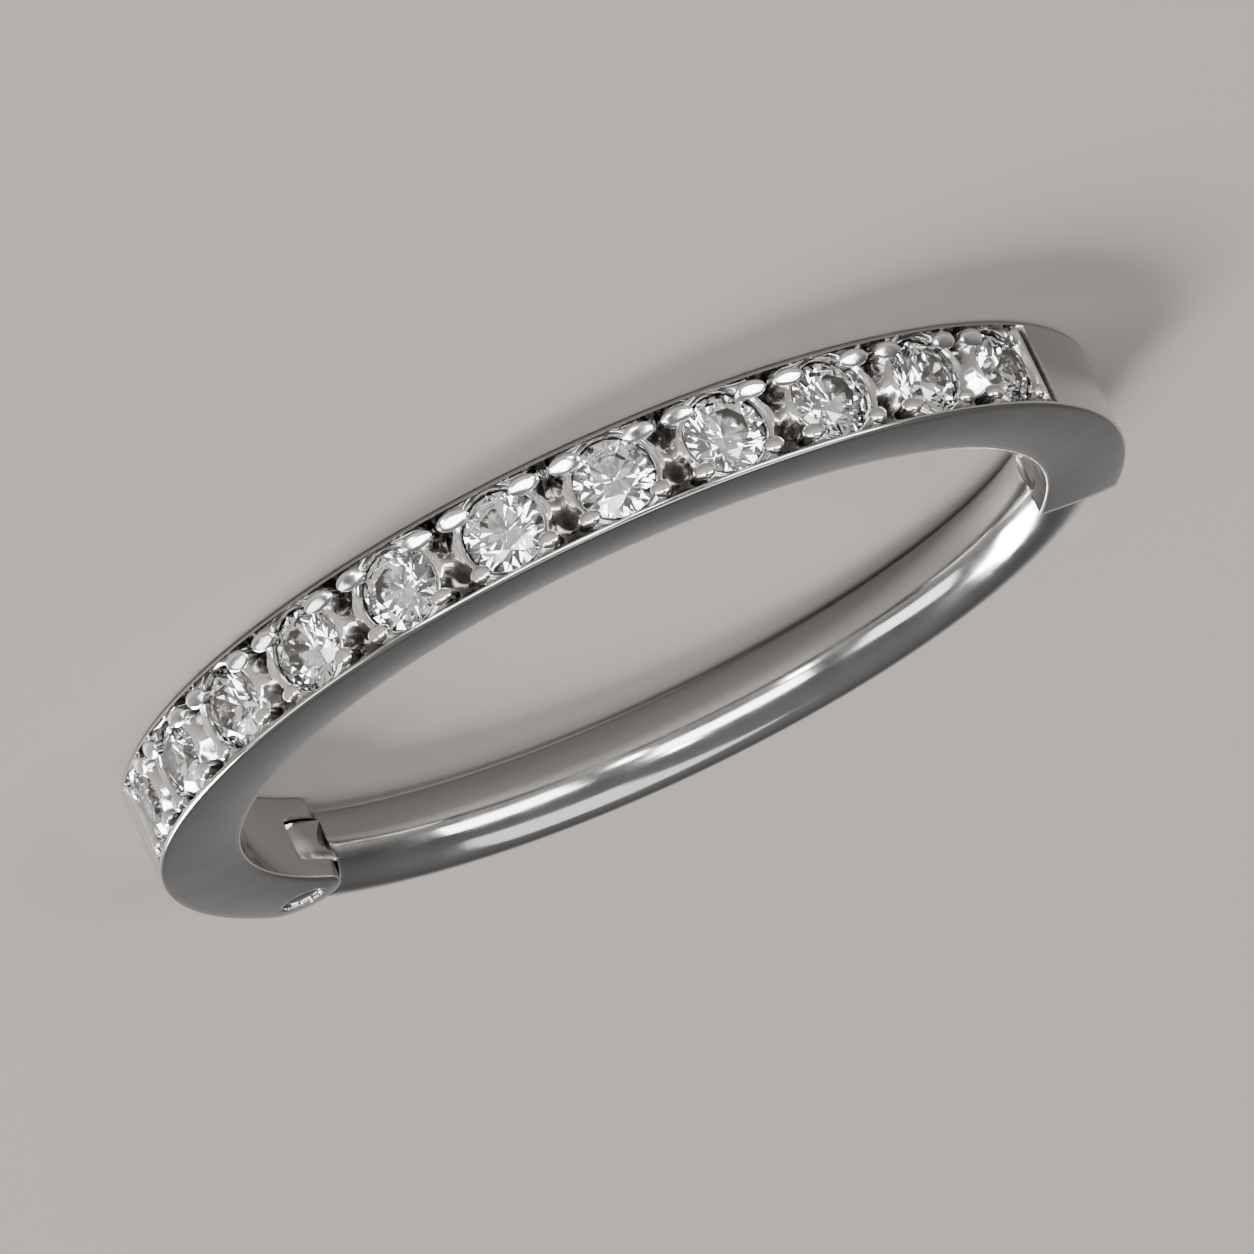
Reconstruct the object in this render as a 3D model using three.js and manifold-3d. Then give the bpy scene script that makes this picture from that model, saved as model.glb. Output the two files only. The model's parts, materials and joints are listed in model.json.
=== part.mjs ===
// A hinged clicker ring with a paved front, lying on its side.
//
// Millimetres, +Z up. The ring's axis is Z and its lower side face is z = 0. Angles are in
// degrees, counter-clockwise from +X as seen from above: the middle of the paved front is at
// 270, on the -Y side, and the middle of the gate, the part that swings, is at 90.

import * as THREE from 'three';
import { mergeVertices } from 'three/addons/utils/BufferGeometryUtils.js';
import Module from 'manifold-3d';

const wasm = await Module();
wasm.setup();

// Driving dimensions: the band.
const innerRadius = 5;
const bandThickness = 1; // radial
const bandWidth = 1.1; // along the ring's axis
const edgeChamfer = 0.06;
const wireDiameter = 1; // the gate is round wire
const bodyHalfAngle = 113; // from the middle of the front to the hinge, and to the catch

// Driving dimensions: the paved front.
const stoneCount = 11;
const stonePitch = 12.93; // degrees
const stoneDiameter = 0.9;
const crownHeight = 0.13;
const pavilionDepth = 0.38;
const girdleHeight = 0.02;
const tableRatio = 0.58; // of the stone's diameter
const tableSink = 0.01; // the tables lie this far under the plain shoulders
const paveHalfAngle = 71.15;
const railWidth = 0.085;
const bedDepth = 0.2; // of the channel between the two rails
const seatDepth = 0.57;
const seatClearance = 0.04;
const tieWidth = 0.3; // of the thin strip under the girdles that ties the stones together
const tieThickness = 0.05;
const tieClearance = 0.02;
const beadRadius = 0.105;
const beadStretch = 1.3; // along the band
const beadSpread = 0.22; // from the middle of a gap between two stones to a bead
const beadRise = 0.015; // of a bead's top over the shoulders

// Driving dimensions: the hinge and the catch.
const tongueThickness = 0.5;
const slotClearance = 0.02;
const knuckleRadius = 0.48;
const hingeSlotDepth = 0.56; // behind the pin's axis
const shoulderClearance = 0.05; // from the fork's round cheeks to the gate's hollowed shoulder
const pinRadius = 0.25;
const pinHoleRadius = 0.27; // in the cheeks
const knuckleHoleRadius = 0.29; // in the gate
const pinInset = 0.02; // of the pin's ends under the side faces
const catchLength = 0.6;
const catchSlotDepth = 0.66;
const catchGap = 0.03; // between the gate's end and the body's end
const openingAngle = 80;

// Facets.
const ringSides = 120;
const wireSides = 16;
const stoneSides = 12;
const pinSides = 24;
const beadSides = 6;
const beadRows = 4;

// Worked out from the dimensions above.
const outerRadius = innerRadius + bandThickness;
const middleRadius = (innerRadius + outerRadius) / 2;
const middleHeight = bandWidth / 2;
const frontAngle = 270;
const hingeAngle = frontAngle + bodyHalfAngle - 360;
const catchAngle = frontAngle - bodyHalfAngle;
const stoneRadius = stoneDiameter / 2;
const girdleLevel = outerRadius - tableSink - crownHeight;
const bedLevel = outerRadius - bedDepth;
const tongueBottom = middleHeight - tongueThickness / 2;
const tongueTop = middleHeight + tongueThickness / 2;
const slotBottom = tongueBottom - slotClearance;
const slotTop = tongueTop + slotClearance;
const farAway = 2 * outerRadius; // a reach past everything, for cutting blocks
const facetAngle = 360 / ringSides;

const radians = THREE.MathUtils.degToRad;
const arcDegrees = (length) => THREE.MathUtils.radToDeg(length / middleRadius);

// A closed three.js geometry as a solid that can be joined and cut.
function solid(geometry) {
  const bare = geometry.index ? geometry.clone() : geometry;
  bare.deleteAttribute('normal');
  bare.deleteAttribute('uv');
  const merged = mergeVertices(bare, 1e-5);
  const triangles = Uint32Array.from(merged.index.array);
  if (signedVolume(merged.attributes.position.array, triangles) < 0) turnInsideOut(triangles);
  return new wasm.Manifold(new wasm.Mesh({
    numProp: 3,
    vertProperties: Float32Array.from(merged.attributes.position.array),
    triVerts: triangles,
  }));
}

function signedVolume(points, triangles) {
  const corners = [new THREE.Vector3(), new THREE.Vector3(), new THREE.Vector3()];
  let volume = 0;
  for (let i = 0; i < triangles.length; i += 3) {
    corners.forEach((corner, k) => corner.fromArray(points, 3 * triangles[i + k]));
    volume += corners[0].dot(corners[1].cross(corners[2])) / 6;
  }
  return volume;
}

function turnInsideOut(triangles) {
  for (let i = 0; i < triangles.length; i += 3) {
    [triangles[i + 1], triangles[i + 2]] = [triangles[i + 2], triangles[i + 1]];
  }
}

const join = (solids) => solids.reduce((whole, next) => whole.add(next));
const cut = (whole, tools) => tools.reduce((rest, tool) => rest.subtract(tool), whole);

function namedMesh(name, whole, material) {
  const { vertProperties, triVerts } = whole.getMesh();
  const geometry = new THREE.BufferGeometry();
  geometry.setAttribute('position', new THREE.BufferAttribute(vertProperties, 3));
  geometry.setIndex(new THREE.BufferAttribute(triVerts, 1));
  geometry.computeVertexNormals();
  const mesh = new THREE.Mesh(geometry, material);
  mesh.name = name;
  return mesh;
}

// A closed profile of [radius, height] points, turned about the ring's axis.
function turned(profile, sides = ringSides) {
  const points = [...profile, profile[0]].map(([radius, height]) => new THREE.Vector2(radius, height));
  return solid(new THREE.LatheGeometry(points, sides).rotateX(Math.PI / 2));
}

// A block between two radii, two angles and two heights.
function sector(inner, outer, from, to, bottom, top) {
  const outline = new THREE.Shape();
  outline.absarc(0, 0, outer, radians(from), radians(to), false);
  outline.absarc(0, 0, inner, radians(to), radians(from), true);
  const steps = Math.ceil((to - from) / facetAngle / 2);
  const geometry = new THREE.ExtrudeGeometry(outline, {
    depth: top - bottom, bevelEnabled: false, curveSegments: steps,
  });
  return solid(geometry.translate(0, 0, bottom));
}

// The whole slice of the ring between two angles.
const slice = (from, to) => sector(innerRadius / 2, farAway, from, to, -farAway, farAway);

// Moves a geometry whose own +Y is to point outwards to a place on the band.
function onBand(geometry, angle, radius, height) {
  return geometry.translate(0, radius, 0).rotateZ(radians(angle - 90)).translate(0, 0, height);
}

// An upright cylinder at a place on the band's middle line.
function upright(radius, angle, bottom, top) {
  const cylinder = new THREE.CylinderGeometry(radius, radius, top - bottom, pinSides);
  cylinder.rotateX(Math.PI / 2);
  return solid(onBand(cylinder, angle, middleRadius, (bottom + top) / 2));
}

// An upright cylinder with chamfered rims, as thick as the band.
function chamferedEnd(angle) {
  const radius = bandThickness / 2;
  const profile = [
    [0, 0], [radius - edgeChamfer, 0], [radius, edgeChamfer],
    [radius, bandWidth - edgeChamfer], [radius - edgeChamfer, bandWidth], [0, bandWidth],
  ].map(([x, y]) => new THREE.Vector2(x, y));
  const geometry = new THREE.LatheGeometry(profile, pinSides).rotateX(Math.PI / 2);
  return solid(onBand(geometry, angle, middleRadius, 0));
}

// The angle of each stone, and of each gap beside one.
const stoneAngle = (index) => frontAngle + (index - (stoneCount - 1) / 2) * stonePitch;

function bandRing() {
  const c = edgeChamfer;
  return turned([
    [innerRadius + c, 0], [outerRadius - c, 0], [outerRadius, c], [outerRadius, bandWidth - c],
    [outerRadius - c, bandWidth], [innerRadius + c, bandWidth], [innerRadius, bandWidth - c],
    [innerRadius, c],
  ]);
}

// The channel of the paved front, with a conical seat for each stone.
function paveCuts() {
  const channel = sector(
    bedLevel, farAway, frontAngle - paveHalfAngle, frontAngle + paveHalfAngle,
    railWidth, bandWidth - railWidth,
  );
  const seats = [];
  const mouth = stoneRadius * (1 - (girdleLevel - bedLevel) / pavilionDepth) + seatClearance;
  const depth = seatDepth - bedDepth;
  for (let i = 0; i < stoneCount; i += 1) {
    const cone = new THREE.CylinderGeometry(mouth, seatClearance, depth, stoneSides);
    seats.push(solid(onBand(cone, stoneAngle(i), bedLevel - depth / 2, middleHeight)));
    // A short straight mouth takes the cut through the curved bed.
    const rim = new THREE.CylinderGeometry(mouth, mouth, bedDepth, stoneSides);
    seats.push(solid(onBand(rim, stoneAngle(i), bedLevel + bedDepth / 2 - seatClearance / 4, middleHeight)));
  }
  return [channel, ...seats];
}

// Four raised beads in each gap between two stones, and two beyond each end stone.
function beads() {
  const spread = arcDegrees(beadSpread);
  const angles = [];
  for (let i = 0; i <= stoneCount; i += 1) {
    const gap = stoneAngle(i - 0.5);
    if (i > 0) angles.push(gap - spread);
    if (i < stoneCount) angles.push(gap + spread);
  }
  const level = outerRadius + beadRise - beadRadius;
  const side = bandWidth / 2 - railWidth - beadRadius / 2;
  const solids = [];
  for (const angle of angles) {
    for (const height of [middleHeight - side, middleHeight + side]) {
      const bead = new THREE.SphereGeometry(beadRadius, beadSides, beadRows);
      bead.scale(beadStretch, 1, 1);
      solids.push(solid(onBand(bead, angle, level, height)));
    }
  }
  return solids;
}

// The slot of the fork: open at the body's end, inside and outside, and closed behind the pin.
function hingeSlot() {
  const length = farAway / 4;
  const block = new THREE.BoxGeometry(length, 2 * bandThickness, slotTop - slotBottom);
  block.translate(hingeSlotDepth - length / 2, 0, 0);
  return solid(onBand(block, hingeAngle, middleRadius, middleHeight));
}

function catchSlot() {
  return sector(
    innerRadius / 2, farAway, catchAngle - 1, catchAngle + arcDegrees(catchSlotDepth),
    slotBottom, slotTop,
  );
}

function ringBody() {
  const arc = bandRing().intersect(slice(catchAngle, hingeAngle + 360));
  const forked = arc.add(chamferedEnd(hingeAngle));
  const shaped = cut(forked, [
    ...paveCuts(), hingeSlot(), catchSlot(),
    upright(pinHoleRadius, hingeAngle, -bandWidth, 2 * bandWidth),
  ]);
  return join([shaped, ...beads()]);
}

function hingePin() {
  return upright(pinRadius, hingeAngle, pinInset, bandWidth - pinInset);
}

// A round brilliant: pavilion, girdle, crown and table, its own +Y outwards.
function stone(angle) {
  const profile = [
    [0, -pavilionDepth], [stoneRadius, -girdleHeight / 2], [stoneRadius, girdleHeight / 2],
    [stoneRadius * tableRatio, crownHeight], [0, crownHeight],
  ].map(([x, y]) => new THREE.Vector2(x, y));
  const geometry = new THREE.LatheGeometry(profile, stoneSides, Math.PI / stoneSides);
  return solid(onBand(geometry, angle, girdleLevel, middleHeight));
}

function stoneRow() {
  const stones = Array.from({ length: stoneCount }, (_, i) => stone(stoneAngle(i)));
  const floor = bedLevel + tieClearance;
  const tie = sector(
    floor, floor + tieThickness, stoneAngle(0), stoneAngle(stoneCount - 1),
    middleHeight - tieWidth / 2, middleHeight + tieWidth / 2,
  );
  return join([tie, ...stones]);
}

// What the fork's cheeks need beside the tongue, from the gate shut to the gate open: the round
// ends, and the body behind them, which the open gate swings back towards.
function cheekSweep(bottom, top) {
  const reach = bandThickness / 2 + shoulderClearance;
  const ends = upright(reach, hingeAngle, bottom, top);
  const strip = new THREE.BoxGeometry(farAway / 4, 2 * reach, top - bottom);
  strip.translate(farAway / 8, 0, 0).rotateZ(radians(openingAngle));
  return ends.add(solid(onBand(strip, hingeAngle, middleRadius, (bottom + top) / 2)));
}

// The gate: round wire with a flat tongue at each end, one on the pin and one in the catch.
function gate() {
  const radius = wireDiameter / 2;
  const circle = Array.from({ length: wireSides }, (_, i) => {
    const turn = 2 * Math.PI * (i + 0.5) / wireSides;
    return [middleRadius + radius * Math.cos(turn), middleHeight + radius * Math.sin(turn)];
  });
  const wholeWire = turned(circle);
  const wireEnd = catchAngle - arcDegrees(catchGap);
  const wire = cut(wholeWire.intersect(slice(hingeAngle, wireEnd)), [
    cheekSweep(-bandWidth, tongueBottom), cheekSweep(tongueTop, 2 * bandWidth),
  ]);
  const catchTongue = wholeWire.intersect(sector(
    innerRadius / 2, farAway, wireEnd - 1, wireEnd + arcDegrees(catchLength),
    tongueBottom, tongueTop,
  ));
  const knuckle = upright(knuckleRadius, hingeAngle, tongueBottom, tongueTop);
  const pinHole = upright(knuckleHoleRadius, hingeAngle, -bandWidth, 2 * bandWidth);
  return join([wire, catchTongue, knuckle]).subtract(pinHole);
}

const steel = new THREE.MeshStandardMaterial({
  color: 0xd2d1cf, roughness: 0.16, metalness: 1, flatShading: true,
});
const gem = new THREE.MeshStandardMaterial({
  color: 0xf0f4f8, roughness: 0.03, metalness: 0, flatShading: true,
});

const ring = new THREE.Group();
ring.add(
  namedMesh('ring_body', ringBody(), steel),
  namedMesh('stone_row', stoneRow(), gem),
  namedMesh('hinge_pin', hingePin(), steel),
  namedMesh('gate', gate(), steel),
);

export default ring;
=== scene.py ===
import json
import math

import bmesh
import bpy
import numpy as np
from mathutils import Matrix, Quaternion, Vector


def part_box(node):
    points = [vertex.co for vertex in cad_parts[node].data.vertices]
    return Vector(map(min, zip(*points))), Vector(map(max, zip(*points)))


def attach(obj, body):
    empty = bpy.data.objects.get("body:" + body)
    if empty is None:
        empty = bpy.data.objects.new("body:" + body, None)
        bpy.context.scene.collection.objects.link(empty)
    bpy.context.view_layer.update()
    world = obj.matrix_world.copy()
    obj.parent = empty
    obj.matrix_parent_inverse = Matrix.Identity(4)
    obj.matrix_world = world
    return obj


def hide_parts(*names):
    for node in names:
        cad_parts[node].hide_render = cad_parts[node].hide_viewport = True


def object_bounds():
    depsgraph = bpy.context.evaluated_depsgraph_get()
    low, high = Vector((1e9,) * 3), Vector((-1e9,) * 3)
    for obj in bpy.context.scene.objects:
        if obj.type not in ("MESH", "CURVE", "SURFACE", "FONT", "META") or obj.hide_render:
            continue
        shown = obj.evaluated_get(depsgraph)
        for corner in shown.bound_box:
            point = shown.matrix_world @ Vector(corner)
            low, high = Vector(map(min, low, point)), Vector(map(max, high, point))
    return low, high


# A hinged clicker ring of polished steel, with eleven small clear stones along its front.
# Shapes are worked out in millimetres and go into the meshes in metres. Angles are in degrees,
# counter-clockwise from +X as seen from above; the middle of the paved front is at 270.

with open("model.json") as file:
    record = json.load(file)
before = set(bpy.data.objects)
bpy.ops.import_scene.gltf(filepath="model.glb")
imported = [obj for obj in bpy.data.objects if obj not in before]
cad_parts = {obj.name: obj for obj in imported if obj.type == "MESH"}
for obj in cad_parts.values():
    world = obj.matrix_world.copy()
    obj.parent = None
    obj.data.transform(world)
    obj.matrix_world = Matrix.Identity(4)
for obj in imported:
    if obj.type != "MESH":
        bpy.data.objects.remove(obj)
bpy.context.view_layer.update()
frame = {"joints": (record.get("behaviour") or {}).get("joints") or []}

mm = 0.001

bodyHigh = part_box("ring_body")[1]
pinLow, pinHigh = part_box("hinge_pin")
hinge = frame["joints"][0]
pinPlace = np.array(hinge["pos_m"][:2]) / mm

making = {
    "weld": 1e-5,                       # points nearer than this become one
    "sharpAngle": 35.0,                 # edges sharper than this are broken, and shaded as edges
    "breakSteps": 2,                    # faces across a broken edge
}

band = {
    "outer": bodyHigh.x / mm,           # radius of the outside
    "thickness": 1.0,                   # radial
    "width": bodyHigh.z / mm,           # along the ring's axis
    "front": 270.0,                     # the middle of the paved front
    "halfSpan": 113.0,                  # from there to the hinge, and to the catch
    "rim": 0.045,                       # radius of the rims: with the crown, less than a rail's width
    "rimSteps": 4,
    "arcStep": 1.0,
    "endSteps": 20,                     # round a quarter of the fork's end
    "slot": (0.28, 0.82),               # heights of the fork's slot and of the catch's
    "hingeSlot": 5.84,                  # the fork's slot, in degrees behind the pin
    "catchSlot": 6.9,                   # the catch's slot, in degrees
    "crown": 0.015,                     # how far the polished side faces bulge
    "crownSteps": 12,
    "edgeBreak": 0.014,
    "pinHole": 0.262,                   # radius of the holes for the pin
    "holeSides": 64,
}
band["inner"] = band["outer"] - band["thickness"]
band["middle"] = band["outer"] - band["thickness"] / 2
band["mid"] = band["width"] / 2

pave = {
    "count": 11,
    "pitch": 12.93,
    "halfSpan": 71.6,
    "rail": 0.065,                      # width of the thin rail along each side
    "stone": 0.45,                      # radius
    "girdle": 0.14,                     # of the girdles under the shoulders' level
    "floor": 0.68,                      # depth of the channel under everything
    "floorGap": 0.01,                   # from there up to the bed's back
    "seat": 0.457,                      # radius of the seats
    # rings of a seat, from its pole outwards: radius, and depth under the girdles
    "seatBowl": ((0, 0.42), (0.045, 0.42), (0.225, 0.24), (0.42, 0.055)),
    "seatFoot": 0.03,                   # depth of its wall's foot under the girdles
    # rings from the top of its wall: how far out, and depth under the edge of its lip
    "seatEdge": ((0, 0.02), (0.001, 0.006), (0.006, -0.003)),
    "lipStart": 0.014,                  # from the seat's wall to the first ring of points round it
    "lip": (0.025, 0.042, 0.056),       # of the crest round each seat: its depth, start and end
    "lipSlope": (0.85, 2.6),            # down to the stone, and down to the gap
    "valley": 0.16,                     # depth of the cut across the middle of each gap
    "valleySlope": 1.3,
    "valleyLeast": 0.02,                # the cut stays this far under the crests
    "pit": (0.14, 0.21),                # how much deeper it is towards the lower rail and the upper
    "pitStart": 0.65,                   # share of the way to the rail where it is that deep
    "railSlope": 3.2,                   # of the bright cut down from the rails
    "ridge": (0.190, 0.030),            # of the ridge inside each shoulder: its place and half width
    "ridgeSlope": 5.0,                  # of its sides, and of the line cut between it and the shoulder
    "groove": 0.15,                     # depth of that line
    "grooveFade": 5.0,                  # how soon that line takes its full painted shade
    "soft": 0.010,                      # rounding where cuts meet
    "bottomless": 2.0,                  # a depth past that of every cut
    "farAway": 9.0,                     # the way to a shoulder, for stones that lie next to none
    "paintedShade": (0.05, 0.28, 0.76),         # depths between which a cut takes painted shade, and how dark that shade gets
    "railShadeWidth": 0.08,                   # width of the painted shadow line along the inside of each rail
    "railFade": 1.6,                    # how soon that painted shadow line is dark
    "seatShadeRate": 2.0,                    # how fast a seat's painted shade grows with its depth
    "around": (36, 26),                 # points on a cell's long and short sides
    "rings": 44,
    "crowding": 1.5,                    # how closely the rings of points crowd in on the seat
    "sharpAngle": 50.0,
}


def ringPoint(radius, angle, height):
    # from the distance to the axis, the angle in degrees and the height
    turn = np.radians(angle)
    radius, turn, height = np.broadcast_arrays(radius, turn, height)
    return np.stack([radius * np.cos(turn), radius * np.sin(turn), height], axis=-1)


def gridQuads(rows, columns):
    # one quad between each four neighbours of a grid of points
    first = np.arange(rows * columns).reshape(rows, columns)
    return np.stack(
        [first[:-1, :-1], first[:-1, 1:], first[1:, 1:], first[1:, :-1]], axis=-1
    ).reshape(-1, 4)


def withPaintedShade(points, paintedShade):
    # points with a fourth column: the painted shade on the metal there, from 0 to 1
    return np.concatenate([points, np.broadcast_to(paintedShade, points.shape[:-1])[..., None]], axis=-1)


def patchMesh(name, patches):
    # grids of points, joined where their edges meet, into one closed mesh in millimetres
    points, quads, first = [], [], 0
    for patch in patches:
        points.append(patch.reshape(-1, patch.shape[-1]))
        quads.append(gridQuads(*patch.shape[:2]) + first)
        first += points[-1].shape[0]
    points = np.concatenate(points)
    mesh = bpy.data.meshes.new(name)
    mesh.from_pydata(points[:, :3], [], np.concatenate(quads))
    # the painted shade goes onto the mesh as a point attribute
    if points.shape[1] == 4:
        mesh.attributes.new("paintedShade", "FLOAT", "POINT").data.foreach_set("value", points[:, 3])
    turnOutwards(mesh, weld=making["weld"])
    return mesh


def turnOutwards(mesh, weld=0.0):
    # joins points that lie together, and makes every face of a closed mesh point outwards
    work = bmesh.new()
    work.from_mesh(mesh)
    if weld > 0:
        bmesh.ops.remove_doubles(work, verts=work.verts, dist=weld)
    bmesh.ops.recalc_face_normals(work, faces=work.faces)
    work.to_mesh(mesh)
    work.free()


def finishMesh(mesh, edgeBreak=0.0, drill=None):
    # cuts a hole or breaks the edges, and smooths the faces, all at millimetre size
    worker = bpy.data.objects.new(mesh.name + "Work", mesh)
    bpy.context.scene.collection.objects.link(worker)
    if drill is not None:
        hole = worker.modifiers.new("drill", "BOOLEAN")
        hole.object = drill
        hole.operation = "DIFFERENCE"
        hole.solver = "EXACT"
    if edgeBreak > 0:
        softened = worker.modifiers.new("edgeBreak", "BEVEL")
        softened.width = edgeBreak
        softened.segments = making["breakSteps"]
        softened.limit_method = "ANGLE"
        softened.angle_limit = math.radians(making["sharpAngle"])
        softened.miter_outer = "MITER_ARC"
    mesh.shade_smooth()
    evaluated = worker.evaluated_get(bpy.context.evaluated_depsgraph_get())
    done = bpy.data.meshes.new_from_object(evaluated)
    bpy.data.objects.remove(worker)
    return done


def addPiece(name, mesh, material, body, sharpAngle=making["sharpAngle"]):
    # brings a mesh from millimetres to metres and makes it a piece that rides on a body
    mesh.transform(Matrix.Diagonal((mm, mm, mm, 1)))
    mesh.shade_smooth()
    mesh.set_sharp_from_angle(angle=math.radians(sharpAngle))
    mesh.materials.clear()
    mesh.materials.append(material)
    piece = bpy.data.objects.new(name, mesh)
    bpy.context.scene.collection.objects.link(piece)
    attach(piece, body)
    return piece


# The finishes. Sizes are in millimetres: that of the clouds in the gloss, and those of each bump,
# which is a size, a depth and a scale along each axis.

steelFinish = {
    # the body's steel, set a little darker than the metal's own tone as painted shade
    "colour": (0.48, 0.47, 0.46),
    "roughness": (0.10, 0.17),
    "cloud": 0.5,
    "bumps": [
        (0.9, 0.0025, (1, 1, 1)),       # slow waves
        (0.03, 0.00012, (1, 1, 0.15)),  # fine lines along the axis
    ],
}

cutFinish = {
    # brighter than the body's steel though it is the same metal: a painted highlight on the cut parts
    "colour": (0.80, 0.79, 0.78),
    "paintedShade": (0.10, 0.095, 0.09),        # colour of the painted shade where the metal lies deep
    "roughness": (0.09, 0.2),
    "cloud": 0.12,
    "bumps": [
        (0.12, 0.002, (1, 1, 1)),       # marks of the graver
        (0.02, 0.0001, (1, 1, 1)),
    ],
}

stoneFinish = {
    "colour": (1.0, 1.0, 1.0),
    "roughness": 0.0,
    "ior": 2.16,
}

noiseDetail = {"cloud": 4, "bump": 3}
noiseSpan = (0.3, 0.7)                  # nearly all values of a noise lie between these


def nodeMaterial(name, finish):
    # a material of the finish's colour, and its shader
    material = bpy.data.materials.new(name)
    material.use_nodes = True
    shader = material.node_tree.nodes["Principled BSDF"]
    shader.inputs["Base Color"].default_value = (*finish["colour"], 1)
    return material, shader


def polishedSteel(name, finish):
    # bright metal: faint cloudy gloss, a slow waviness and fine polishing lines, and painted shade in
    # its pits and cuts where the finish has a shade colour
    material, shader = nodeMaterial(name, finish)
    nodes, links = material.node_tree.nodes, material.node_tree.links
    shader.inputs["Metallic"].default_value = 1.0
    # painted shade: the colour goes towards the finish's shade colour as far as the mesh's attribute
    # says
    if "paintedShade" in finish:
        shade = nodes.new("ShaderNodeAttribute")
        shade.attribute_name = "paintedShade"
        mix = nodes.new("ShaderNodeMix")
        mix.data_type = "RGBA"
        mix.inputs["A"].default_value = (*finish["colour"], 1)
        mix.inputs["B"].default_value = (*finish["paintedShade"], 1)
        links.new(shade.outputs["Fac"], mix.inputs["Factor"])
        links.new(mix.outputs["Result"], shader.inputs["Base Color"])
    place = nodes.new("ShaderNodeTexCoord")

    def noise(size, detail, stretch=(1, 1, 1)):
        # clouds of this size on the piece, scaled along each axis
        mapping = nodes.new("ShaderNodeMapping")
        mapping.inputs["Scale"].default_value = [share / (size * mm) for share in stretch]
        links.new(place.outputs["Object"], mapping.inputs["Vector"])
        texture = nodes.new("ShaderNodeTexNoise")
        texture.inputs["Scale"].default_value = 1.0
        texture.inputs["Detail"].default_value = detail
        links.new(mapping.outputs["Vector"], texture.inputs["Vector"])
        return texture.outputs["Fac"]

    gloss = nodes.new("ShaderNodeMapRange")
    gloss.inputs["From Min"].default_value = noiseSpan[0]
    gloss.inputs["From Max"].default_value = noiseSpan[1]
    gloss.inputs["To Min"].default_value = finish["roughness"][0]
    gloss.inputs["To Max"].default_value = finish["roughness"][1]
    links.new(noise(finish["cloud"], noiseDetail["cloud"]), gloss.inputs["Value"])
    links.new(gloss.outputs["Result"], shader.inputs["Roughness"])

    under = None
    for size, depth, stretch in finish["bumps"]:
        bump = nodes.new("ShaderNodeBump")
        bump.inputs["Strength"].default_value = 1.0
        bump.inputs["Distance"].default_value = depth * mm
        links.new(noise(size, noiseDetail["bump"], stretch), bump.inputs["Height"])
        if under is not None:
            links.new(under.outputs["Normal"], bump.inputs["Normal"])
        under = bump
    links.new(under.outputs["Normal"], shader.inputs["Normal"])
    return material


def clearStone(name, finish):
    # clear and smooth, and bending light as strongly as its ior says
    material, shader = nodeMaterial(name, finish)
    shader.inputs["Roughness"].default_value = finish["roughness"]
    shader.inputs["IOR"].default_value = finish["ior"]
    shader.inputs["Transmission Weight"].default_value = 1.0
    return material


steel = polishedSteel("polishedSteel", steelFinish)
# the bed and beads: painted shade in their pits and cuts, and a painted highlight in their brighter
# colour
cutSteelPaintedLight = polishedSteel("cutSteelPaintedLight", cutFinish)
stoneGlass = clearStone("clearStone", stoneFinish)
print("materials made")


# The ring body: a flat band that ends in the hinge's fork and the catch's slot.

catchEnd = band["front"] - band["halfSpan"]
hingeEnd = band["front"] + band["halfSpan"]
paveStart = band["front"] - pave["halfSpan"]
paveEnd = band["front"] + pave["halfSpan"]
breaks = {                              # angles where the band's shape changes
    "catchEnd": catchEnd,
    "catchSlot": catchEnd + band["catchSlot"],
    "paveStart": paveStart,
    "paveEnd": paveEnd,
    "hingeSlot": hingeEnd - band["hingeSlot"],
    "hingeEnd": hingeEnd,
}


def arcBetween(begin, end):
    # evenly spaced angles, about a step apart, without the last
    steps = max(2, math.ceil((end - begin) / band["arcStep"]))
    return np.linspace(begin, end, steps + 1)[:-1]


breakAngles = list(breaks.values())
arcAngles = np.concatenate([*map(arcBetween, breakAngles[:-1], breakAngles[1:]), [hingeEnd]])
corner = {name: int(np.argmin(abs(arcAngles - angle))) for name, angle in breaks.items()}
channelAngles = arcAngles[corner["paveStart"]:corner["paveEnd"] + 1]


def bodyOutline(inset):
    # the outer and the inner line from the catch's end to the hinge's, drawn in by inset: arcs about
    # the ring's middle, then each a quarter circle about the pin
    outer = ringPoint(band["outer"] - inset, arcAngles, 0)[:, :2]
    inner = ringPoint(band["inner"] + inset, arcAngles, 0)[:, :2]
    turn = np.radians(hingeEnd)
    out = np.array([np.cos(turn), np.sin(turn)])
    along = np.array([-out[1], out[0]])
    sweep = np.linspace(0, np.pi / 2, band["endSteps"] + 1)[1:, None]
    radius = band["thickness"] / 2 - inset
    roundOuter = pinPlace + radius * (out * np.cos(sweep) + along * np.sin(sweep))
    roundInner = pinPlace + radius * (-out * np.cos(sweep) + along * np.sin(sweep))
    return np.concatenate([outer, roundOuter]), np.concatenate([inner, roundInner])


def withHeight(points, height):
    # lifts points of the plane to a height
    return np.concatenate([points, np.full((len(points), 1), height)], axis=1)


def acrossBand(outer, inner, crown=0.0):
    # rows of points from the outer line to the inner one: share t of the way, and raised by
    # crown * 4t(1 - t) * (local chord / full chord) squared
    share = np.linspace(0, 1, band["crownSteps"] + 1)[:, None]
    rows = outer * (1 - share[..., None]) + inner * share[..., None]
    chord = np.linalg.norm(outer - inner, axis=1)
    rows[..., 2] += crown * 4 * share * (1 - share) * (chord / chord[0]) ** 2
    return rows


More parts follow.
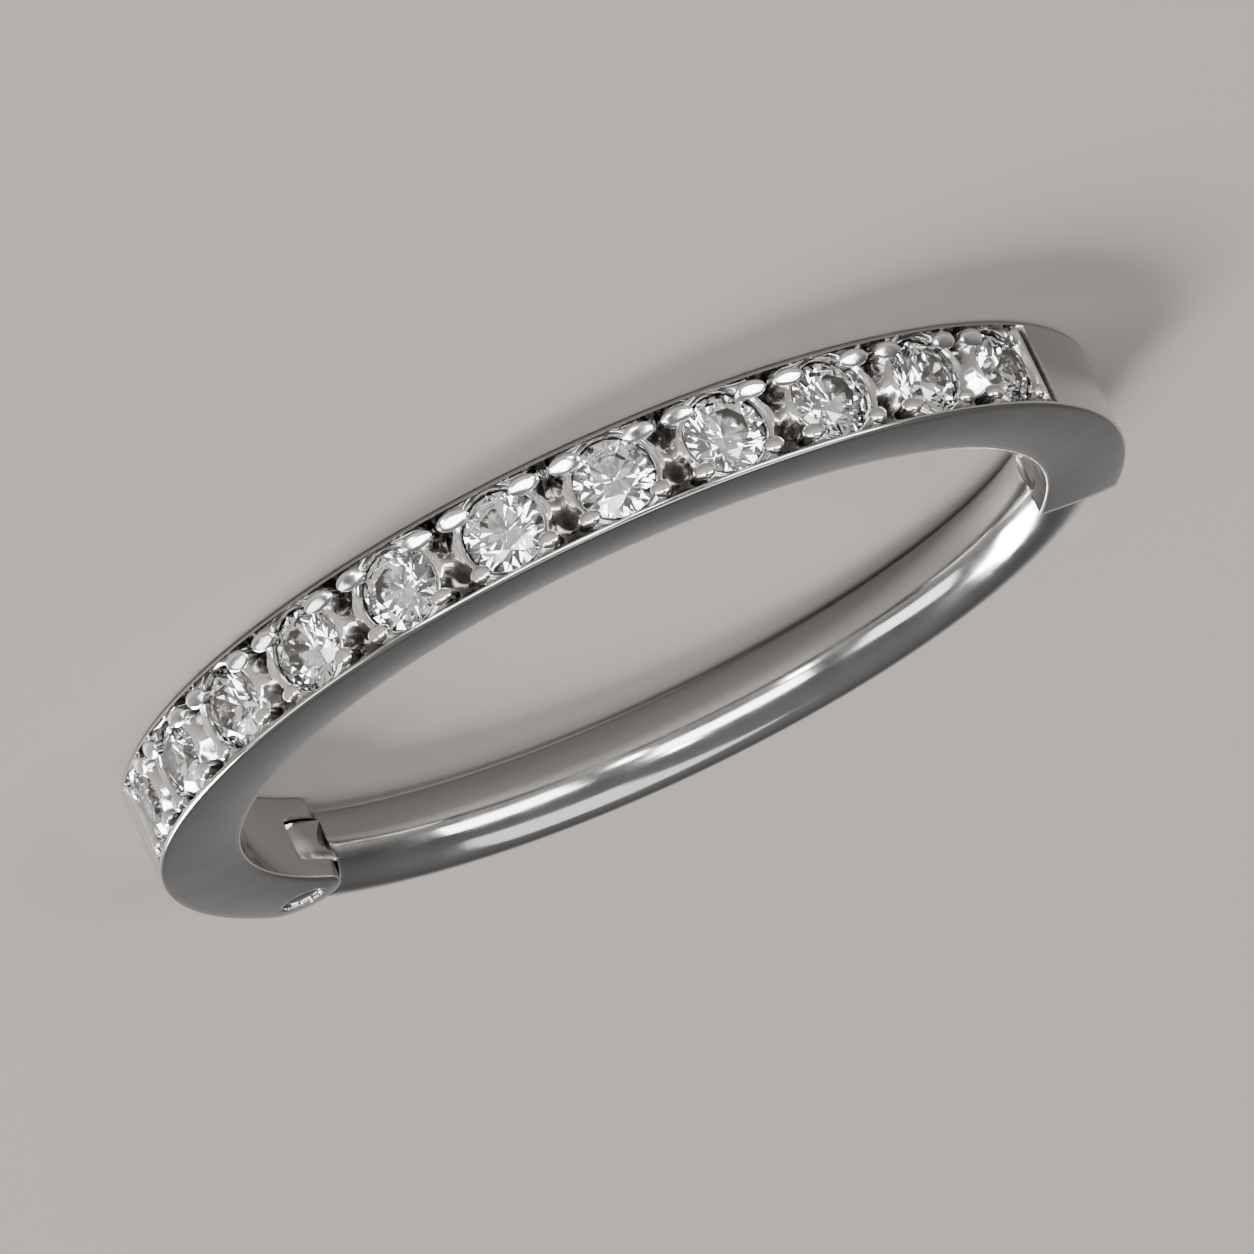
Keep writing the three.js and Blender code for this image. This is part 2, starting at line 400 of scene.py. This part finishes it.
def wallStrip(lowLines, highLines, low, high):
    # the upright walls between two heights: straight from each point of the lower outline to its
    # neighbour on the upper one, left out where a slot or the channel is open
    hair = 1e-9
    inSlot = low > band["slot"][0] - hair and high < band["slot"][1] + hair
    inRails = low > pave["rail"] - hair and high < band["width"] - pave["rail"] + hair
    (lowOuter, lowInner), (highOuter, highInner) = lowLines, highLines
    start, stop = 0, len(lowOuter) - 1
    if inSlot:
        start, stop = corner["catchSlot"], corner["hingeSlot"]
    patches = [np.stack([lowInner[start:stop + 1], highInner[start:stop + 1]])]
    spans = [(start, stop)]
    if inRails:
        spans = [(start, corner["paveStart"]), (corner["paveEnd"], stop)]
    for begin, end in spans:
        patches.append(np.stack([lowOuter[begin:end + 1], highOuter[begin:end + 1]]))
    # the flat end at the catch, or the back of each slot
    for end in (start, stop) if inSlot else (start,):
        patches.append(np.stack([
            acrossBand(outer[end:end + 1], inner[end:end + 1])[:, 0]
            for outer, inner in (lowLines, highLines)
        ]))
    if inRails:
        # the channel's floor, and its two end walls
        top, floor = band["outer"], band["outer"] - pave["floor"]
        patches.append(np.stack([ringPoint(floor, channelAngles, height) for height in (low, high)]))
        for angle in (paveStart, paveEnd):
            patches.append(np.stack([ringPoint((top, floor), angle, height) for height in (low, high)]))
    return patches


def bodyPatches():
    # the band's outline, drawn in along a quarter circle at both rims, and its open or closed faces
    rim, width, crown = band["rim"], band["width"], band["crown"]
    quarter = np.linspace(0, np.pi / 2, band["rimSteps"] + 1)
    # each row of the wall is an inset and a height
    lowRim = [(rim * (1 - math.sin(turn)), crown + rim * (1 - math.cos(turn))) for turn in quarter]
    middles = [(0, height) for height in (pave["rail"], *band["slot"], width - pave["rail"])]
    rows = lowRim + middles + [(inset, width - height) for inset, height in reversed(lowRim)]
    lines = [[withHeight(side, height) for side in bodyOutline(inset)] for inset, height in rows]

    patches = []
    for i in range(len(rows) - 1):
        patches += wallStrip(lines[i], lines[i + 1], rows[i][1], rows[i + 1][1])
    # the two rails' inner walls
    for height in (pave["rail"], width - pave["rail"]):
        patches.append(np.stack([
            ringPoint(radius, channelAngles, height)
            for radius in (band["outer"], band["outer"] - pave["floor"])
        ]))
    # the two side faces, each with the sliver between its domed end and the flat end's edge
    for (outer, inner), bulge in ((lines[0], -crown), (lines[-1], crown)):
        domed = acrossBand(outer, inner, bulge)
        patches += [domed, np.stack([domed[:, 0], acrossBand(outer[:1], inner[:1])[:, 0]])]
    # the slots' upper and lower faces
    for height in band["slot"]:
        outer, inner = [withHeight(side, height) for side in bodyOutline(0)]
        for part in (slice(0, corner["catchSlot"] + 1), slice(corner["hingeSlot"], None)):
            patches.append(acrossBand(outer[part], inner[part]))
    return patches


def pinCutter():
    # a round bar along the pin's axis, longer than the band is wide, for drilling
    bpy.ops.mesh.primitive_cylinder_add(
        vertices=band["holeSides"], radius=band["pinHole"], depth=4 * band["width"],
        location=(pinPlace[0], pinPlace[1], band["mid"]))
    return bpy.context.object


def makeBody():
    drill = pinCutter()
    mesh = finishMesh(patchMesh("ringBody", bodyPatches()), drill=drill)
    bpy.data.objects.remove(drill)
    mesh = finishMesh(mesh, edgeBreak=band["edgeBreak"])
    piece = addPiece("ringBody", mesh, steel, "ring")
    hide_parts("ring_body")


makeBody()
print("ring body made")


# The paved bed: the cut metal round the stones.

girdleRadius = band["outer"] - pave["girdle"]
degreeLength = math.radians(1) * girdleRadius       # of one degree, at the girdles
firstStone = band["front"] - (pave["count"] - 1) / 2 * pave["pitch"]
channelHalf = band["mid"] - pave["rail"]            # half the way between the rails


def softLowest(*depths):
    # the least of several depths, rounded where two meet: -soft * log(sum of exp(-depth / soft))
    soft = pave["soft"]
    shares = [np.exp(-np.minimum(depth, pave["bottomless"]) / soft) for depth in depths]
    return -soft * np.log(sum(shares))


def metalDepth(along, across, gapAway, endAway):
    # depth under the shoulders, the softly least of: a V cut across each gap, valley + pit - slope *
    # the way from its middle, whose pits ease in towards the rails as 3s^2 - 2s^3; the crest round
    # each seat, its depth + slope * the way past it, bevelled down to the stone; and the bright cuts
    # from the rails and a ridge at each end, slope * the way from them. Between that ridge and the
    # shoulder lies a narrow groove
    away = np.hypot(along, across)
    railAway = channelHalf - abs(across)
    lipDepth, crestStart, crestEnd = pave["lip"]
    inward, outward = pave["lipSlope"]
    ridgePlace, ridgeHalf = pave["ridge"]
    side = np.minimum(abs(across) / channelHalf / pave["pitStart"], 1)
    pit = np.where(across < 0, *pave["pit"]) * side ** 2 * (3 - 2 * side)
    valley = pave["valley"] + pit - pave["valleySlope"] * abs(gapAway)
    valley = np.maximum(valley, lipDepth + pave["valleyLeast"])
    fromSeat = away - pave["seat"]
    lip = lipDepth + outward * np.maximum(fromSeat - crestEnd, 0)
    bevel = inward * np.maximum(crestStart - fromSeat, 0)
    rail = pave["railSlope"] * np.maximum(railAway, 0)
    ridge = pave["ridgeSlope"] * np.maximum(abs(endAway - ridgePlace) - ridgeHalf, 0)
    wall = pave["ridgeSlope"] * endAway
    groove = softLowest(ridge, wall, pave["groove"], rail)
    inGroove = endAway < ridgePlace
    depth = np.where(inGroove, groove, softLowest(valley, lip, rail, ridge) + bevel)
    # painted shade on the metal, from 0 to 1: by its depth, in a line along each rail, and in the groove
    shallow, deep, darkest = pave["paintedShade"]
    byDepth = darkest * (depth - shallow) / (deep - shallow)
    byRail = darkest * pave["railFade"] * (1 - railAway / pave["railShadeWidth"])
    byGroove = pave["grooveFade"] * groove / pave["groove"]
    paintedShade = np.where(inGroove, byGroove, np.maximum(byDepth, byRail))
    return depth, np.clip(paintedShade, 0, darkest)


def cellEdge(back, ahead):
    # round a stone's cell, from its middle: points on the rectangle back..ahead by the channel's width
    long, short = pave["around"]
    top = np.linspace(ahead, -back, long, endpoint=False)
    side = np.linspace(channelHalf, -channelHalf, short, endpoint=False)
    return np.concatenate([
        np.stack([top, np.full(long, channelHalf)], axis=1),
        np.stack([np.full(short, -back), side], axis=1),
        np.stack([ahead - back - top, np.full(long, -channelHalf)], axis=1),
        np.stack([np.full(short, ahead), -side], axis=1),
        [[ahead, channelHalf]],
    ])


def seatRows():
    # radius and depth of a seat's rings, from its pole out to its lip
    lipTop = pave["lip"][0] + pave["lipSlope"][0] * pave["lip"][1]
    bowl = [(radius, pave["girdle"] + depth) for radius, depth in pave["seatBowl"]]
    foot = [(pave["seat"], pave["girdle"] + pave["seatFoot"])]
    edge = [(pave["seat"] + out, lipTop + depth) for out, depth in pave["seatEdge"]]
    return np.array(bowl + foot + edge)


def cellPatches(stone, seat):
    # one stone's cell: its seat, then share t of the way from a circle round it to the cell's edge,
    # at the depth of the metal there, wrapped round the band; and the slab's walls and back under it
    isFirst, isLast = stone == 0, stone == pave["count"] - 1
    half = pave["pitch"] / 2 * degreeLength
    atShoulder = (pave["halfSpan"] - (pave["count"] - 1) / 2 * pave["pitch"]) * degreeLength
    back = atShoulder if isFirst else half
    ahead = atShoulder if isLast else half
    edge = cellEdge(back, ahead)
    turn = np.arctan2(edge[:, 1], edge[:, 0])
    circle = np.stack([np.cos(turn), np.sin(turn)], axis=1)
    share = np.linspace(0, 1, pave["rings"])[:, None, None] ** pave["crowding"]
    plane = circle * (pave["seat"] + pave["lipStart"]) * (1 - share) + edge * share
    along, across = plane[..., 0], plane[..., 1]
    endAway = np.full_like(along, pave["farAway"])
    if isFirst:
        endAway = along + back
    if isLast:
        endAway = ahead - along
    depth, paintedShade = metalDepth(along, across, half - abs(along), endAway)

    bowl = circle * seat[:, :1, None]
    bowlDepth = np.broadcast_to(seat[:, 1:], bowl.shape[:2])
    along = np.concatenate([bowl[..., 0], along])
    across = np.concatenate([bowl[..., 1], across])
    depth = np.concatenate([bowlDepth, depth])
    # painted shade in the seat, growing with its depth under the stone
    paintedShade = np.concatenate([np.clip(bowlDepth * pave["seatShadeRate"], 0, 1), paintedShade])
    angle = firstStone + stone * pave["pitch"] + along / degreeLength
    top = withPaintedShade(ringPoint(band["outer"] - depth, angle, band["mid"] + across), paintedShade)

    long, short = pave["around"]
    under = band["outer"] - pave["floor"] + pave["floorGap"]
    outline = top[-1]
    # the slab's walls, under the stones, take full painted shade
    low = withPaintedShade(ringPoint(under, angle[-1], outline[:, 2]), 1.0)
    sides = [slice(0, long + 1), slice(long + short, 2 * long + short + 1)]
    if isFirst:
        sides.append(slice(long, long + short + 1))
    if isLast:
        sides.append(slice(2 * long + short, 2 * (long + short) + 1))
    heights = low[long:long + short + 1, 2]
    # and so does the slab's back
    slabBack = withPaintedShade(ringPoint(under, angle[-1][None, :long + 1], heights[:, None]), 1.0)
    return [top, *[np.stack([outline[part], low[part]]) for part in sides], slabBack]


def makeBed():
    seat = seatRows()
    patches = []
    for stone in range(pave["count"]):
        patches += cellPatches(stone, seat)
    addPiece("pavedBed", patchMesh("pavedBed", patches), cutSteelPaintedLight, "ring", pave["sharpAngle"])


makeBed()
print("paved bed made")


# The beads: small prongs that hold the stones. Pairs of values are for the lower row and the upper.

beadShape = {
    "spread": (0.205, 0.225),           # from the middle of a gap
    "side": (0.366, 0.358),             # from the band's middle
    "endPlace": 0.235,                  # at the shoulders, where beads are short and keep off the ridge
    "endLong": 0.10,
    "long": (0.185, 0.130),             # half sizes, along the band and across it
    "wide": (0.096, 0.104),
    "neck": (0.92, 0.75),               # share of the height that is a straight post
    "tilt": (0.40, 0.12),               # slope of the head, down to the band's middle
    "top": 0.022,                       # over the shoulders
    "foot": 0.34,                       # under them
    "lean": 0.03,                       # of the top towards its stone
    "uneven": 0.05,                     # how much one bead's size differs from the next
    "stray": 0.005,                     # how far one lies from its place
    "fullness": 0.7,                    # of the domed head: 1 is an ellipse, and less is fuller
    "sides": 28,
    "domeSteps": 11,
    "footShadeRate": 2.0,                    # how fast a post's painted shade grows towards its foot
    "sharpAngle": 60.0,
    "seed": 7,
}


def beadPatch(gap, toStone, row, rng):
    # a post with a domed head: an ellipse whose half sizes shrink as cos^fullness of the rise, while
    # its height grows from the neck's as the sine; the head tilts across the band and leans to its stone
    side = (-1, 1)[row]
    around = np.linspace(0, 2 * np.pi, beadShape["sides"] + 1)
    rise = np.concatenate([[0], np.linspace(0, np.pi / 2, beadShape["domeSteps"] + 1)])[:, None]
    shrink = np.cos(rise) ** beadShape["fullness"]
    longUneven, wideUneven, _ = 1 + beadShape["uneven"] * rng.normal(0, 1, 3)
    stray = beadShape["stray"] * rng.normal(0, 1, 2)
    neck = beadShape["neck"][row]
    share = neck + (1 - neck) * np.sin(rise)
    share[0] = 0
    level = (beadShape["foot"] + beadShape["top"]) * share
    lean = beadShape["lean"] * share
    atEnd = gap in (0, pave["count"])
    long = beadShape["endLong"] if atEnd else beadShape["long"][row]
    place = beadShape["endPlace"] if atEnd else beadShape["spread"][row]
    along = long * longUneven * shrink * np.cos(around)
    across = beadShape["wide"][row] * wideUneven * shrink * np.sin(around)
    tilt = beadShape["tilt"][row] * side * across * share
    radius = band["outer"] - beadShape["foot"] + level + tilt
    along = along + toStone * (place + stray[0] + lean)
    across = across + side * (beadShape["side"][row] + stray[1] - lean)
    angle = firstStone + (gap - 0.5) * pave["pitch"] + along / degreeLength
    # painted shade, growing from the head down to the post's foot
    paintedShade = (1 - share) * beadShape["footShadeRate"]
    post = withPaintedShade(ringPoint(radius, angle, band["mid"] + across), paintedShade)
    foot = np.broadcast_to(post[:1].mean(axis=1, keepdims=True), post[:1].shape)
    return np.concatenate([foot, post])


def makeBeads():
    # two rows of two beads in each gap, and one pair of beads at each shoulder
    rng = np.random.default_rng(beadShape["seed"])
    patches = []
    for gap in range(pave["count"] + 1):
        for toStone in (-1, 1):
            if (gap, toStone) in ((0, -1), (pave["count"], 1)):
                continue
            patches += [beadPatch(gap, toStone, row, rng) for row in (0, 1)]
    addPiece("beads", patchMesh("beads", patches), cutSteelPaintedLight, "ring", beadShape["sharpAngle"])


makeBeads()
print("beads made")


# The stones: round brilliants.

stoneCut = {
    "table": 0.56,                      # share of the girdle's radius, to the table's corners
    "crown": 33.5,                      # degrees
    "pavilion": 40.8,
    "girdle": 0.035,                    # thickness, as a share of the radius
    "starReach": 0.5,                   # share of the way from the table's edge to the girdle
    "lowerReach": 0.76,                 # share of the way from the girdle to the culet
    "tilt": 1.3,                        # degrees that a stone leans, as set by hand
    "uneven": 0.008,                    # how much its size differs from the next
    "sharpAngle": 1.0,
    "seed": 3,
}


def brilliant():
    # corner rings of a round brilliant of radius 1, its girdle's top edge at height 0: each facet's
    # plane rises by the tangent of its angle times the distance from the girdle
    crown, pavilion = np.tan(np.radians([stoneCut["crown"], stoneCut["pavilion"]]))
    eighth, half = np.radians(45), np.radians(22.5)

    def ring(radius, height, offset):
        turn = np.arange(8) * eighth + offset
        return np.stack([radius * np.cos(turn), radius * np.sin(turn), np.full(8, height)], axis=-1)

    table = ring(stoneCut["table"], (1 - stoneCut["table"]) * crown, 0)
    edge = stoneCut["table"] * math.cos(half)
    starRadius = edge + stoneCut["starReach"] * (1 - edge)
    star = ring(starRadius, (1 - starRadius * math.cos(half)) * crown, half)
    top = np.stack([ring(1, 0, 0), ring(1, 0, half)], axis=1).reshape(-1, 3)
    bottom = top - [0, 0, stoneCut["girdle"]]
    lowerRadius = 1 - stoneCut["lowerReach"]
    lower = ring(lowerRadius, -stoneCut["girdle"] - pavilion * (1 - lowerRadius * math.cos(half)), half)
    culet = np.array([[0, 0, -stoneCut["girdle"] - pavilion]])
    points = np.concatenate([table, star, top, bottom, lower, culet])

    # the numbers of each ring's corners; the two girdle rings have 16 and the others 8
    tableAt, starAt, topAt, bottomAt, lowerAt, culetAt = 0, 8, 16, 32, 48, 56
    faces = [list(range(8))]
    for i in range(8):
        after, before = (i + 1) % 8, (i - 1) % 8
        here, beside, beyond = 2 * i, 2 * i + 1, (2 * i + 2) % 16
        faces += [
            [tableAt + i, tableAt + after, starAt + i],                         # star
            [tableAt + i, starAt + i, topAt + here, starAt + before],           # kite
            [starAt + i, topAt + here, topAt + beside],                         # upper halves
            [starAt + i, topAt + beside, topAt + beyond],
            [lowerAt + i, bottomAt + beside, bottomAt + here],                  # lower halves
            [lowerAt + i, bottomAt + beyond, bottomAt + beside],
            [culetAt, lowerAt + before, bottomAt + here, lowerAt + i],          # pavilion main
            [topAt + here, bottomAt + here, bottomAt + beside, topAt + beside],         # girdle
            [topAt + beside, bottomAt + beside, bottomAt + beyond, topAt + beyond],
        ]
    return points, faces


def makeStones():
    # each stone is the same cut, turned and tilted a little and set in its seat; its own x runs along
    # the band, its y up and its z outwards
    rng = np.random.default_rng(stoneCut["seed"])
    points, faces = brilliant()
    for i in range(pave["count"]):
        spin = rng.uniform(0, 2 * np.pi)
        tilt = np.radians(rng.normal(0, stoneCut["tilt"], 2))
        size = pave["stone"] * (1 + stoneCut["uneven"] * rng.normal())
        across, upward = np.cos(spin), np.sin(spin)
        local = size * points @ np.array([[across, upward, 0], [-upward, across, 0], [0, 0, 1]])
        local[:, 2] += tilt[0] * local[:, 0] + tilt[1] * local[:, 1]
        turn = np.radians(firstStone + i * pave["pitch"])
        out = np.array([np.cos(turn), np.sin(turn), 0])
        along = np.array([-out[1], out[0], 0])
        up = np.array([0, 0, 1])
        centre = girdleRadius * out + band["mid"] * up
        placed = centre + local @ np.stack([along, up, out])
        mesh = bpy.data.meshes.new(f"stone{i + 1:02d}")
        mesh.from_pydata(placed, [], faces)
        turnOutwards(mesh)
        piece = addPiece(mesh.name, mesh, stoneGlass, "ring", stoneCut["sharpAngle"])
        if i == 0:
            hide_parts("stone_row")


makeStones()
print("stones made")


# The gate: round wire with a flat tongue at each end.

gateShape = {
    "clearance": 0.05,                  # from the fork's cheeks to the hollowed shoulder
    "opening": hinge["range_deg"][1],
    "catchGap": 0.03,                   # from the wire's end to the body
    "tongue": (0.30, 0.80),             # heights
    "knuckle": 0.45,                    # radius of the knuckle
    "tongueHalf": 0.415,                # half width of the tongues inside the wire
    "catchLength": 0.6,
    "overlap": 0.35,                    # of the catch's tongue inside the wire
    "knuckleOverlap": 0.91,             # of the knuckle's
    "tongueSteps": 11,
    "settling": 7,                      # rounds of working out where the hollow meets the wire
    "sides": 64,
    "arcStep": 1.0,
    "edgeBreak": 0.02,
}
gateStart = hingeEnd - 360
gateStop = catchEnd - math.degrees(gateShape["catchGap"] / band["middle"])


def shoulderAlong(out):
    # how far along the gate its shoulder starts, for a place out from the pin's axis: a hollow round
    # the cheeks, then a straight relief that lets the gate open
    reach = band["thickness"] / 2 + gateShape["clearance"]
    lean = np.radians(90 - gateShape["opening"])
    bend = reach * np.sin(lean)
    hollow = np.sqrt(np.maximum(reach ** 2 - out ** 2, 0))
    relief = (reach - out * np.sin(lean)) / np.cos(lean)
    return np.where(out < bend, hollow, relief)


def gateWire():
    # a circle carried along an arc of the ring, from the shoulder's own line to the flat end; at each
    # point of the circle the angle goes evenly from its beginning to the end
    radius = band["thickness"] / 2
    around = np.linspace(0, 2 * np.pi, gateShape["sides"] + 1)
    distance = band["middle"] + radius * np.cos(around)
    height = band["mid"] + radius * np.sin(around)
    turn = np.zeros_like(around)
    for _ in range(gateShape["settling"]):
        turn = np.arcsin(shoulderAlong(distance * np.cos(turn) - band["middle"]) / distance)
    begin = gateStart + np.degrees(turn)
    steps = math.ceil((gateStop - gateStart) / gateShape["arcStep"])
    share = np.linspace(0, 1, steps + 1)[:, None]
    surface = ringPoint(distance, begin * (1 - share) + gateStop * share, height)
    half = gateShape["sides"] // 2
    ends = [np.stack([row[:half + 1], row[half:][::-1]]) for row in (surface[0], surface[-1])]
    return [surface, *ends]


def tonguePlate(pairs):
    # a flat plate between the gate's two heights, over pairs of outer and inner points
    outer, inner = [[withHeight(line, height) for height in gateShape["tongue"]] for line in pairs]
    patches = [np.stack(outer), np.stack(inner)]
    patches += [np.stack(level) for level in zip(outer, inner)]
    for end in (0, -1):
        patches.append(np.array([[far[end], near[end]] for far, near in zip(outer, inner)]))
    return patches


def gateTongues():
    # the knuckle's plate follows the band and widens evenly to a half circle about the pin; the
    # catch's plate follows the band at one width
    half, radius = gateShape["tongueHalf"], gateShape["knuckle"]
    points = gateShape["tongueSteps"] + 1
    reach = math.degrees(gateShape["knuckleOverlap"] / band["middle"])
    arc = np.linspace(gateStart + reach, gateStart, points)
    widening = np.linspace(half, radius, points)
    turn = np.radians(gateStart)
    out = np.array([np.cos(turn), np.sin(turn)])
    back = np.array([out[1], -out[0]])
    sweep = np.linspace(0, np.pi / 2, band["endSteps"] + 1)[1:, None]
    knuckle = [
        np.concatenate([
            ringPoint(band["middle"] + sign * widening, arc, 0)[:, :2],
            pinPlace + radius * (sign * out * np.cos(sweep) + back * np.sin(sweep)),
        ])
        for sign in (1, -1)
    ]
    inside = math.degrees(gateShape["overlap"] / band["middle"])
    tip = math.degrees(gateShape["catchLength"] / band["middle"])
    arc = np.linspace(gateStop - inside, gateStop + tip, points)
    catch = [ringPoint(band["middle"] + sign * half, arc, 0)[:, :2] for sign in (1, -1)]
    return tonguePlate(knuckle), tonguePlate(catch)


def makeGate():
    whole = bmesh.new()
    for patches in (gateWire(), *gateTongues()):
        whole.from_mesh(finishMesh(patchMesh("gate", patches), edgeBreak=gateShape["edgeBreak"]))
    mesh = bpy.data.meshes.new("gateWire")
    whole.to_mesh(mesh)
    whole.free()
    piece = addPiece("gateWire", mesh, steel, "gate")
    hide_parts("gate")


makeGate()
print("gate made")


# The pin.

pinShape = {
    "dome": 0.03,                       # how far each end bulges
    "edge": 0.015,                      # radius of its rounded edge
    "domeSteps": 11,
    "edgeSteps": 4,
    "sides": 96,
}


def makePin():
    # a plain pin, turned from a profile: at radius r its end lies dome * (r / radius)^2 back, and its
    # edge is a quarter circle
    radius = (pinHigh.x - pinLow.x) / 2 / mm
    dome, edge = pinShape["dome"], pinShape["edge"]
    flat = np.linspace(0, radius - edge, pinShape["domeSteps"] + 1)
    turn = np.linspace(0, np.pi / 2, pinShape["edgeSteps"] + 1)[1:]
    out = np.concatenate([flat, radius - edge + edge * np.sin(turn)])
    back = np.concatenate([dome * (flat / radius) ** 2, dome + edge * (1 - np.cos(turn))])
    out = np.concatenate([out, out[::-1]])[:, None]
    height = np.concatenate([pinLow.z / mm + back, pinHigh.z / mm - back[::-1]])[:, None]
    around = np.linspace(0, 2 * np.pi, pinShape["sides"] + 1)
    points = np.stack([
        pinPlace[0] + out * np.cos(around),
        pinPlace[1] + out * np.sin(around),
        height + 0 * around,
    ], axis=-1)
    piece = addPiece("hingePin", patchMesh("hingePin", [points]), steel, "ring")
    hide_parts("hinge_pin")


makePin()
print("pin made")


# The floor, the light and the camera. Lengths are in metres from here on.

studio = {
    "floorSize": 2.0,
    "skyColour": (1.0, 0.985, 0.965),
    "sky": (                            # height, and brightness there
        (0.0, 0.66),
        (0.13, 0.47),
        (0.27, 0.22),
        (0.45, 0.13),
        (1.0, 0.30),
    ),
    "lens": 300.0,
    "clip": (0.005, 10),
    "azimuth": -7.5,
    "elevation": 15.0,
    "roll": 154.7,
    "frameWidth": 0.0142,
}

floorFinish = {
    "colour": (0.212, 0.196, 0.182),
    "roughness": 0.65,
    "gloss": 0.25,
}

lamps = {                               # direction, distance, width and height, brightness
    "keyLight": ((0.85, 0.55, 0.5), 0.6, (0.26, 0.26), 50),
    "topLight": ((-0.2, 0.2, 1.0), 0.6, (0.4, 0.3), 2),
    "frontLight": ((0.15, -1.0, 0.58), 0.6, (0.46, 0.20), 14),
    "leftLight": ((-0.9, -0.5, 0.5), 0.6, (0.40, 0.20), 14),
    "rightLight": ((0.95, -0.35, 0.5), 0.6, (0.36, 0.20), 5),
    "frontLeft": ((-0.40, -1.0, 0.30), 0.5, (0.06, 0.06), 35),
    "frontRight": ((0.55, -1.0, 0.22), 0.5, (0.06, 0.06), 35),
    "frontHigh": ((-0.15, -1.0, 0.95), 0.5, (0.05, 0.05), 40),
}


def makeFloor():
    # a plain pale square under the ring
    half = studio["floorSize"] / 2
    corners = [(-half, -half, 0), (half, -half, 0), (half, half, 0), (-half, half, 0)]
    mesh = bpy.data.meshes.new("floor")
    mesh.from_pydata(corners, [], [(0, 1, 2, 3)])
    material, shader = nodeMaterial("paleFloor", floorFinish)
    shader.inputs["Roughness"].default_value = floorFinish["roughness"]
    shader.inputs["Specular IOR Level"].default_value = floorFinish["gloss"]
    mesh.materials.append(material)
    floor = bpy.data.objects.new("floor", mesh)
    bpy.context.scene.collection.objects.link(floor)


def softLight(name, direction, distance, size, radiance):
    # an area light towards a direction, facing the middle, as bright as its radiance from anywhere
    data = bpy.data.lights.new(name, "AREA")
    data.shape = "RECTANGLE"
    data.size, data.size_y = size
    data.energy = radiance * math.pi * size[0] * size[1]
    lamp = bpy.data.objects.new(name, data)
    lamp.location = Vector(direction).normalized() * distance
    lamp.rotation_euler = lamp.location.to_track_quat("Z", "Y").to_euler()
    lamp.visible_camera = False
    bpy.context.scene.collection.objects.link(lamp)


def makeCamera():
    # looks at the object's middle from its azimuth and elevation, rolled about its own line of sight
    data = bpy.data.cameras.new("camera")
    data.lens = studio["lens"]
    data.clip_start, data.clip_end = studio["clip"]
    camera = bpy.data.objects.new("camera", data)
    low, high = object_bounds()
    azimuth, elevation = math.radians(studio["azimuth"]), math.radians(studio["elevation"])
    back = Vector((
        math.sin(azimuth) * math.cos(elevation),
        -math.cos(azimuth) * math.cos(elevation),
        math.sin(elevation),
    ))
    distance = studio["frameWidth"] * data.lens / data.sensor_width
    camera.location = (low + high) / 2 + back * distance
    roll = Quaternion((0, 0, 1), math.radians(studio["roll"]))
    camera.rotation_mode = "QUATERNION"
    camera.rotation_quaternion = back.to_track_quat("Z", "Y") @ roll
    bpy.context.scene.collection.objects.link(camera)
    bpy.context.scene.camera = camera


def makeWorld():
    # a plain grey studio: pale at the horizon, dark above it and lighter overhead
    world = bpy.data.worlds.new("studio")
    world.use_nodes = True
    nodes, links = world.node_tree.nodes, world.node_tree.links
    place = nodes.new("ShaderNodeTexCoord")
    split = nodes.new("ShaderNodeSeparateXYZ")
    level = nodes.new("ShaderNodeValToRGB")
    stops = level.color_ramp.elements
    while len(stops) < len(studio["sky"]):
        stops.new(0.5)
    for stop, (height, bright) in zip(stops, studio["sky"]):
        stop.position = height
        stop.color = [bright * share for share in studio["skyColour"]] + [1]
    links.new(place.outputs["Generated"], split.inputs["Vector"])
    links.new(split.outputs["Z"], level.inputs["Fac"])
    links.new(level.outputs["Color"], nodes["Background"].inputs["Color"])
    bpy.context.scene.world = world


makeCamera()
makeFloor()
makeWorld()
for name, values in lamps.items():
    softLight(name, *values)
print("studio made")
